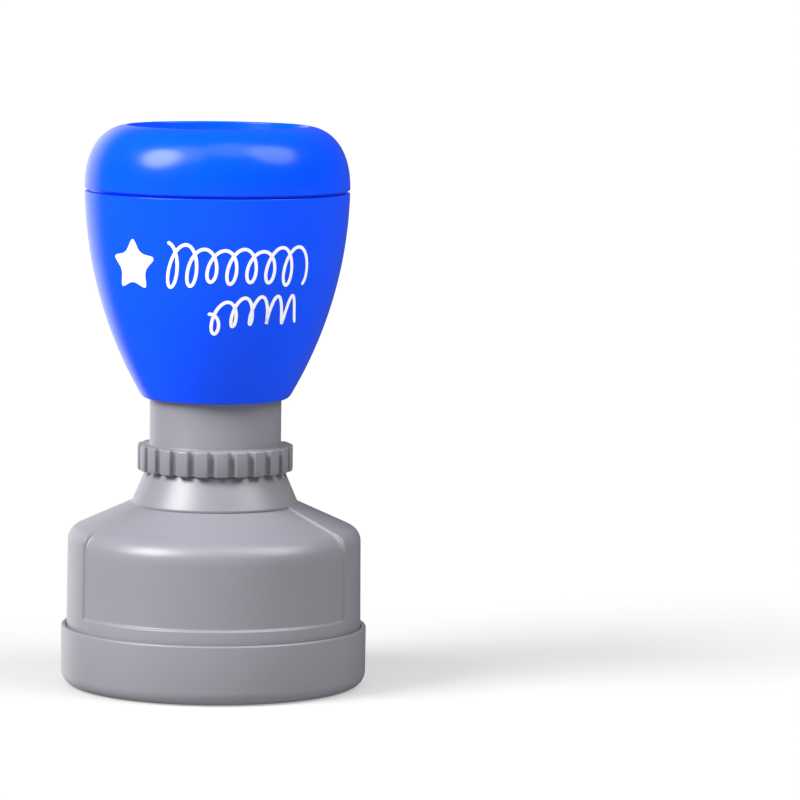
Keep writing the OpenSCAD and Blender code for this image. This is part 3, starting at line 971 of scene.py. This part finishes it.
STEM_R = 2.32
FLANGE_R = 4.2
PLUG_STEPS = 72
plug_low = low("filler_plug")
plug_top = high("filler_plug")
flange = plug_top - 3.5
stem = [(0, plug_low), (1.9, plug_low, 0.3), (STEM_R, flange - 2.4, 0.2), (STEM_R, flange, 0.1)]
disc = [(FLANGE_R, flange, 0.15), (FLANGE_R, flange + 1.4, 0.5), (1.45, flange + 1.4, 0.3)]
knob = [(1.15, flange + 2.2, 0.5), (1.55, plug_top, 0.55), (0, plug_top)]
bm = bmesh.new()
lathe(bm, rounded(stem + disc + knob, closed=False), closed=False, steps=PLUG_STEPS)
stand_for(into_object(bm, "rubber_plug", rubber), "filler_plug")

FRAME_IN_R = 20.15
FRAME_WALL_R = 21.05
FRAME_R = 22.3
frame_low = low("pad_frame")
frame_top = high("pad_frame")
lip_top = frame_low + 0.86
lip = [(FRAME_IN_R, frame_low, 0.15), (FRAME_R, frame_low, 0.4), (FRAME_R, lip_top, 0.1)]
wall = [(FRAME_WALL_R, lip_top, 0.1), (FRAME_WALL_R, frame_top, 0.1), (FRAME_IN_R, frame_top, 0.1)]
bm = bmesh.new()
lathe(bm, rounded(lip + wall))
stand_for(into_object(bm, "snap_frame", white_pp), "pad_frame")

# %% [markdown]
# ## Felt and printing pad
#
# The felt is a plain disc whose edge is a little soft. It sits behind the pad and hands it ink.

# %% Felt disc
felt_low = low("ink_reservoir")
felt_top = high("ink_reservoir")
felt_r = radius("ink_reservoir")
FELT_EDGE = 0.7
felt_outline = [(0, felt_low), (felt_r, felt_low, FELT_EDGE), (felt_r, felt_top, FELT_EDGE), (0, felt_top)]
bm = bmesh.new()
lathe(bm, rounded(felt_outline, closed=False), closed=False)
felt_disc = into_object(bm, "ink_felt_disc", felt)
stand_for(felt_disc, "ink_reservoir")

# %% [markdown]
# The pad is foam: its printing design stands proud by a few tenths of a millimetre, and its edges are
# rounded because foam doesn't hold a corner. The design is a ring and a five-pointed star. The star starts
# as a circle cut into ten slices like a cake, and every other point of its rim is pulled in. It is made in a
# bmesh of its own, where the circle's points come in order, and then joined to the pad.

# %% Pad with its ring and star
STAR_TURN = -pi / 2


def star_prism(outer_r, inner_r, height, round_edge):
    """A five-pointed star with rounded edges, standing up from zero, in a bmesh of its own."""
    bm = bmesh.new()
    made = bmesh.ops.create_circle(bm, cap_ends=True, cap_tris=True, segments=10, radius=outer_r)["verts"]
    points = [v for v in made if hypot(v.co.x, v.co.y) > outer_r / 2]
    for i, vert in enumerate(points):
        r = outer_r if i % 2 == 0 else inner_r
        turn = STAR_TURN + i * pi / 5
        vert.co = (r * cos(turn), r * sin(turn), 0)
    top = bmesh.ops.extrude_face_region(bm, geom=list(bm.faces))["geom"]
    top_verts = [g for g in top if isinstance(g, bmesh.types.BMVert)]
    bmesh.ops.translate(bm, verts=top_verts, vec=(0, 0, height))
    corners = [v for v in top_verts if hypot(v.co.x, v.co.y) > inner_r / 2]
    rim = [e for e in bm.edges if e.verts[0] in corners and e.verts[1] in corners]
    walls = [e for e in bm.edges if (e.verts[0] in corners) != (e.verts[1] in corners)]
    walls = [e for e in walls if abs(e.verts[0].co.z - e.verts[1].co.z) > height / 2]
    if round_edge:
        bmesh.ops.bevel(
            bm,
            geom=rim + walls,
            offset=round_edge,
            segments=3,
            profile=0.5,
            affect="EDGES",
            material=-1,
        )
    return bm


pad_low = low("flash_pad")
pad_top = high("flash_pad")
RELIEF = 0.3
SUNK = 0.1
SOFT_EDGE = 0.12
PRINT_R = 20.0
PAD_R = 21
RING_IN = PRINT_R - 2.2
RING_OUT = PRINT_R - 0.8
pad_face = pad_low + RELIEF
ledge = pad_face + 2.5
ring_in = [(0, pad_face), (RING_IN, pad_face, 0.1), (RING_IN, pad_low, SOFT_EDGE)]
ring_out = [(RING_OUT, pad_low, SOFT_EDGE), (RING_OUT, pad_face, 0.1), (PRINT_R, pad_face, 0.3)]
rim = [(PRINT_R, ledge, 0.2), (PAD_R, ledge, 0.2), (PAD_R, pad_top, 0.3), (0, pad_top)]
bm = bmesh.new()
lathe(bm, rounded(ring_in + ring_out + rim, closed=False), closed=False)
star = star_prism(PRINT_R * 0.68, PRINT_R * 0.3, RELIEF + SUNK, SOFT_EDGE)
bmesh.ops.scale(star, verts=star.verts, vec=(1, 1, -1))
bmesh.ops.translate(star, verts=star.verts, vec=(0, 0, pad_low + RELIEF + SUNK))
bmesh.ops.recalc_face_normals(star, faces=star.faces)
join(bm, star)
pad = into_object(bm, "foam_pad", foam)
stand_for(pad, "flash_pad")

# %% [markdown]
# ## Copies of the remaining mouldings
#
# The rod, the pad holder and the screws have flutes, holes and cross recesses that the engineering model
# already shapes well. Its meshes are loose triangles, so a copy is welded and smoothed between sharp edges,
# and the copy carries the finish.

# %% Weld and smooth copies
COPY_SHARP = radians(28)


def welded_copy(node, name, material):
    """A welded, smooth-shaded copy of a node, which stands for it."""
    bm = bmesh.new()
    bm.from_mesh(frame["nodes"][node].data)
    bmesh.ops.remove_doubles(bm, verts=bm.verts, dist=1e-6)
    bmesh.ops.scale(bm, vec=(1 / MM, 1 / MM, 1 / MM), verts=bm.verts)
    piece = into_object(bm, name, material, sharp=COPY_SHARP)
    stand_for(piece, node)
    return piece


welded_copy("plunger_rod", "fluted_rod", grey_abs)
welded_copy("pad_holder", "pad_holder_cup", grey_abs)
welded_copy("holder_screws", "holder_pan_screws", zinc_steel)
welded_copy("handle_screws", "handle_pan_screws", zinc_steel)

# %% [markdown]
# ## Index label
#
# The label in the crown's dish shows what the stamp prints, so that the right one is picked from a drawer.
# It is a disc of coated paper, with the ring and star printed on it as a film of ink a few hundredths of a
# millimetre thick.

# %% Label and its print
label_low = low("label_disc")
label_top = high("label_disc")
label_r = radius("label_disc")
label_outline = [(0, label_low), (label_r, label_low, 0.05), (label_r, label_top, 0.08), (0, label_top)]
bm = bmesh.new()
lathe(bm, rounded(label_outline, closed=False), closed=False)
label = into_object(bm, "paper_label", label_paper)
stand_for(label, "label_disc")

INK_FILM = 0.03
INK_SUNK = 0.01
LABEL_RING = (11.2, 12.2)
LABEL_STAR = (8.4, 3.7)
ink_low = label_top - INK_SUNK
ink_top = label_top + INK_FILM
ring_in, ring_out = LABEL_RING
bm = bmesh.new()
lathe(bm, [(ring_in, ink_low), (ring_out, ink_low), (ring_out, ink_top), (ring_in, ink_top)])
star = star_prism(*LABEL_STAR, INK_FILM + INK_SUNK, 0)
bmesh.ops.translate(star, verts=star.verts, vec=(0, 0, ink_low))
join(bm, star)
bmesh.ops.recalc_face_normals(bm, faces=bm.faces)
label_print = into_object(bm, "label_print", blue_ink)
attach(label_print, "handle_cap")

# %% [markdown]
# ## White print on the handle
#
# The front of the handle carries a pad-printed mark. Here it is a plain one: a star, a looping pen scribble
# and a shorter one under it, with no letters. Each pen stroke starts as a strip of grid squares. Its points
# are laid along a path in flat millimetres, with the ends narrowed to a round tip, and then the strip is
# wrapped onto the handle's curved side and thickened into a film of ink.

# %% Wrap flat artwork onto the handle
INK_H = 0.05
INK_THICK = INK_H * 0.9
STROKE = 0.56
NARROWEST = 0.02


def wrap(x, z):
    """A point of the flat artwork, x to the right and z up, on the front of the handle."""
    r = side(z) + INK_H
    turn = -pi / 2 + x / side(z)
    return Vector((r * cos(turn), r * sin(turn), z))


def stroke(bm, path, steps):
    """A ribbon of constant width with round ends along path(t), t from 0 to 1, wrapped on the handle."""
    points = [Vector(path(i / steps)) for i in range(steps + 1)]
    lengths = [0.0]
    for a, b in zip(points, points[1:]):
        lengths.append(lengths[-1] + (b - a).length)
    grid = bmesh.ops.create_grid(bm, x_segments=steps, y_segments=2, size=1)["verts"]
    for vert in grid:
        i = round((vert.co.x + 1) / 2 * steps)
        before, after = points[max(i - 1, 0)], points[min(i + 1, steps)]
        along = (after - before).normalized()
        half = STROKE / 2
        from_end = min(lengths[i], lengths[-1] - lengths[i], half)
        tip = sqrt(max(half**2 - (half - from_end) ** 2, NARROWEST**2))
        flat = points[i] + Vector((-along.y, along.x)) * vert.co.y * tip
        vert.co = wrap(flat.x, flat.y)


# %% [markdown]
# A pen scribble is a point that goes round while it moves along. Its tall narrow loops lean to the right, as
# quick handwriting does, but they are only loops and waves and spell nothing. The lower line starts with a
# loop that hangs down and ends as a wave.

# %% Two pen scribbles
ROW_ONE_Z = 73.0
ROW_TWO_Z = 65.6
LEAN = 0.14


def long_scribble(t):
    """A tall stroke down and then a chain of leaning loops."""
    angle = 2 * pi * 7.5 * t
    tall = 2.4 + 1.5 * (1 - t) ** 5 + 0.8 * t**5 + 0.5 * sin(3 * pi * t) ** 2
    x = -9.0 + 24.9 * t + 1.5 * sin(angle)
    z = ROW_ONE_Z + tall * cos(angle)
    return x + LEAN * (z - ROW_ONE_Z), z


def short_scribble(t):
    """A hanging loop that runs into a wave."""
    angle = 2 * pi * 5.5 * t
    hang = 3.0 * (1 - t) ** 6
    x = -1.4 + 16.2 * t + 1.4 * sin(angle) * (1 - t)
    z = ROW_TWO_Z - hang + 2.3 * cos(angle)
    return x + LEAN * (z - ROW_TWO_Z), z


bm = bmesh.new()
stroke(bm, long_scribble, 520)
stroke(bm, short_scribble, 340)
print("print strokes:", len(bm.faces), "faces")

# %% [markdown]
# The star is one flat face, so it would cut straight through the curved handle. Slicing it every half
# millimetre both ways with the bisect operator gives it points to follow the curve with, and bevelling its
# corners first gives the soft look that pad printing has.

# %% Add the star and give the ink its thickness
STAR_AT = (-15.2, 72.7)
STAR_OUT = 4.9
STAR_IN = 2.6
CORNER_CUT = 0.9
SLICE = 0.5

star = bmesh.new()
corners = bmesh.ops.create_circle(star, cap_ends=True, segments=10, radius=STAR_OUT)["verts"]
for i, vert in enumerate(corners):
    r = STAR_OUT if i % 2 == 0 else STAR_IN
    turn = pi / 2 + i * pi / 5
    vert.co = (r * cos(turn), r * sin(turn), 0)
bmesh.ops.bevel(
    star, geom=corners, offset=CORNER_CUT, segments=5, profile=0.5, affect="VERTICES", material=-1
)
slices = int(STAR_OUT / SLICE)
for normal in ((1, 0, 0), (0, 1, 0)):
    for i in range(-slices, slices + 1):
        everything = list(star.verts) + list(star.edges) + list(star.faces)
        place_on = Vector(normal) * i * SLICE
        bmesh.ops.bisect_plane(star, geom=everything, dist=1e-5, plane_co=place_on, plane_no=normal)
bmesh.ops.triangulate(star, faces=star.faces)
for vert in star.verts:
    vert.co = wrap(STAR_AT[0] + vert.co.x, STAR_AT[1] + vert.co.y)
join(bm, star)
bmesh.ops.recalc_face_normals(bm, faces=bm.faces)
for f in bm.faces:
    if f.normal.y > 0:
        f.normal_flip()
bmesh.ops.solidify(bm, geom=list(bm.faces), thickness=INK_THICK)
handle_mark = into_object(bm, "handle_mark", white_ink)
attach(handle_mark, "plunger")

# %% [markdown]
# ## Floor and light
#
# A product stands on a seamless white sweep, and a big pale floor does the same here. The paper glows a
# little, as a backlit sweep does, so the shadow stays light. It is hidden from reflections, which keeps it
# from washing out the gloss.

# %% Floor


def floor_paper():
    material, tree, shader, place = new_material("white_background_paper", ior=1.45)
    broad = {"Vector": place, "Scale": per_mm(40), "Detail": 3}
    mottle = add(tree, "ShaderNodeTexNoise", broad).outputs["Fac"]
    mixed = {0: mottle, 6: linear("#999999"), 7: linear("#9b9b9b")}
    colour = add(tree, "ShaderNodeMix", mixed, data_type="RGBA").outputs[2]
    tree.links.new(colour, shader.inputs["Base Color"])
    shader.inputs["Roughness"].default_value = 0.9
    shader.inputs["Specular IOR Level"].default_value = 0.0
    shader.inputs["Emission Color"].default_value = (1, 1, 1, 1)
    shader.inputs["Emission Strength"].default_value = 0.4
    return material


FLOOR_R = 14000
FLOOR_DROP = 0.02
bm = bmesh.new()
bmesh.ops.create_circle(bm, cap_ends=True, segments=96, radius=FLOOR_R)
bmesh.ops.translate(bm, verts=bm.verts, vec=(0, 0, -FLOOR_DROP))
bmesh.ops.recalc_face_normals(bm, faces=bm.faces)
for f in bm.faces:
    if f.normal.z < 0:
        f.normal_flip()
floor = into_object(bm, "floor", floor_paper())
floor.visible_glossy = False

# %% [markdown]
# The surround is dim, so the blue stays deep, with one bright wall behind on the left that the handle's edge
# reflects as a pale line. A sky shader knows the direction that each ray looks in, so the wall is a dot
# product with the direction of its middle. The camera itself sees plain white instead, like the paper.

# %% Surround
SURROUND = 0.1
WALL_GLOW = 1.5
WALL_EDGE = 0.84
WALL_MIDDLE = 0.985
PLAIN_WHITE = 1.02
WALL_AT = Vector((-sin(radians(152)), -cos(radians(152)), 0.0))

world = bpy.data.worlds.new("studio")
bpy.context.scene.world = world
world.use_nodes = True
sky = world.node_tree
look = add(sky, "ShaderNodeTexCoord").outputs["Generated"]
facing = add(sky, "ShaderNodeVectorMath", {0: look, 1: WALL_AT}, operation="DOT_PRODUCT").outputs["Value"]
ranged = {"Value": facing, "From Min": WALL_EDGE, "From Max": WALL_MIDDLE, "To Min": SURROUND}
ranged["To Max"] = WALL_GLOW
glow = add(sky, "ShaderNodeMapRange", ranged, interpolation_type="SMOOTHSTEP").outputs["Result"]
seen = add(sky, "ShaderNodeLightPath").outputs["Is Camera Ray"]
strength = add(sky, "ShaderNodeMix", {0: seen, 2: glow, 3: PLAIN_WHITE}, data_type="FLOAT").outputs[0]
sky.links.new(strength, sky.nodes["Background"].inputs["Strength"])
sky.nodes["Background"].inputs["Color"].default_value = (1.0, 1.0, 1.0, 1)

# %% [markdown]
# The key light is a tall wide box on the left. It is made of two sun lamps, the weaker one higher and nearer
# the camera, because a sun lights the whole floor evenly, and a large angle gives the shadow the soft edge
# of a big box. A third opens the shaded side on the right, and a weak one high up lifts the roof.

# %% Lamps
MIDDLE = Vector((0, 0, 0.05))


def towards(azimuth, elevation):
    """A direction from the stamp. Azimuth 0 is the front and 90 the right."""
    a, e = radians(azimuth), radians(elevation)
    return Vector((sin(a) * cos(e), -cos(a) * cos(e), sin(e)))


def place_lamp(name, light, azimuth, elevation, distance):
    """Puts a lamp round the stamp's middle, aimed at it and out of the camera's sight."""
    lamp = bpy.data.objects.new(name, light)
    lamp.location = MIDDLE + towards(azimuth, elevation) * distance
    lamp.rotation_euler = towards(azimuth, elevation).to_track_quat("Z", "Y").to_euler()
    lamp.visible_camera = False
    bpy.context.scene.collection.objects.link(lamp)


def sun(name, azimuth, elevation, width, strength):
    """A distant round light, width degrees across."""
    light = bpy.data.lights.new(name, "SUN")
    light.angle = radians(width)
    light.energy = strength
    place_lamp(name, light, azimuth, elevation, 1.0)


sun("key_left", -62, 39, 32, 4.3)
sun("key_front", -42, 52, 36, 0.9)
sun("fill_right", 68, 48, 35, 1.9)
sun("top", 26, 66, 36, 0.8)

# %% [markdown]
# ## Camera
#
# A long lens from a little above the stamp's own height keeps the sides nearly upright. The camera is turned
# slightly to its right, which puts the stamp in the left part of the frame and leaves room for its shadow.
# A camera looks along its own -Z, so its axes are worked out as right, up and back and put in a matrix.

# %% Camera
CAMERA_BACK = 0.8114
CAMERA_UP = 0.1333
YAW = radians(2.217)
PITCH = radians(5.932)
ROLL = radians(0.764)
LENS = 215.4

forward = Vector((sin(YAW) * cos(PITCH), cos(YAW) * cos(PITCH), -sin(PITCH)))
level = Vector((cos(YAW), -sin(YAW), 0))
upright = level.cross(forward)
right = level * cos(ROLL) + upright * sin(ROLL)
up = upright * cos(ROLL) - level * sin(ROLL)

lens = bpy.data.cameras.new("camera")
lens.lens = LENS
lens.sensor_width = 36
lens.clip_end = 60
camera = bpy.data.objects.new("camera", lens)
axes = Matrix((right, up, -forward)).transposed().to_4x4()
camera.matrix_world = Matrix.Translation((0, -CAMERA_BACK, CAMERA_UP)) @ axes
bpy.context.scene.collection.objects.link(camera)
bpy.context.scene.camera = camera
bpy.context.scene.view_settings.view_transform = "Standard"
print("camera at", [round(c, 4) for c in camera.location])
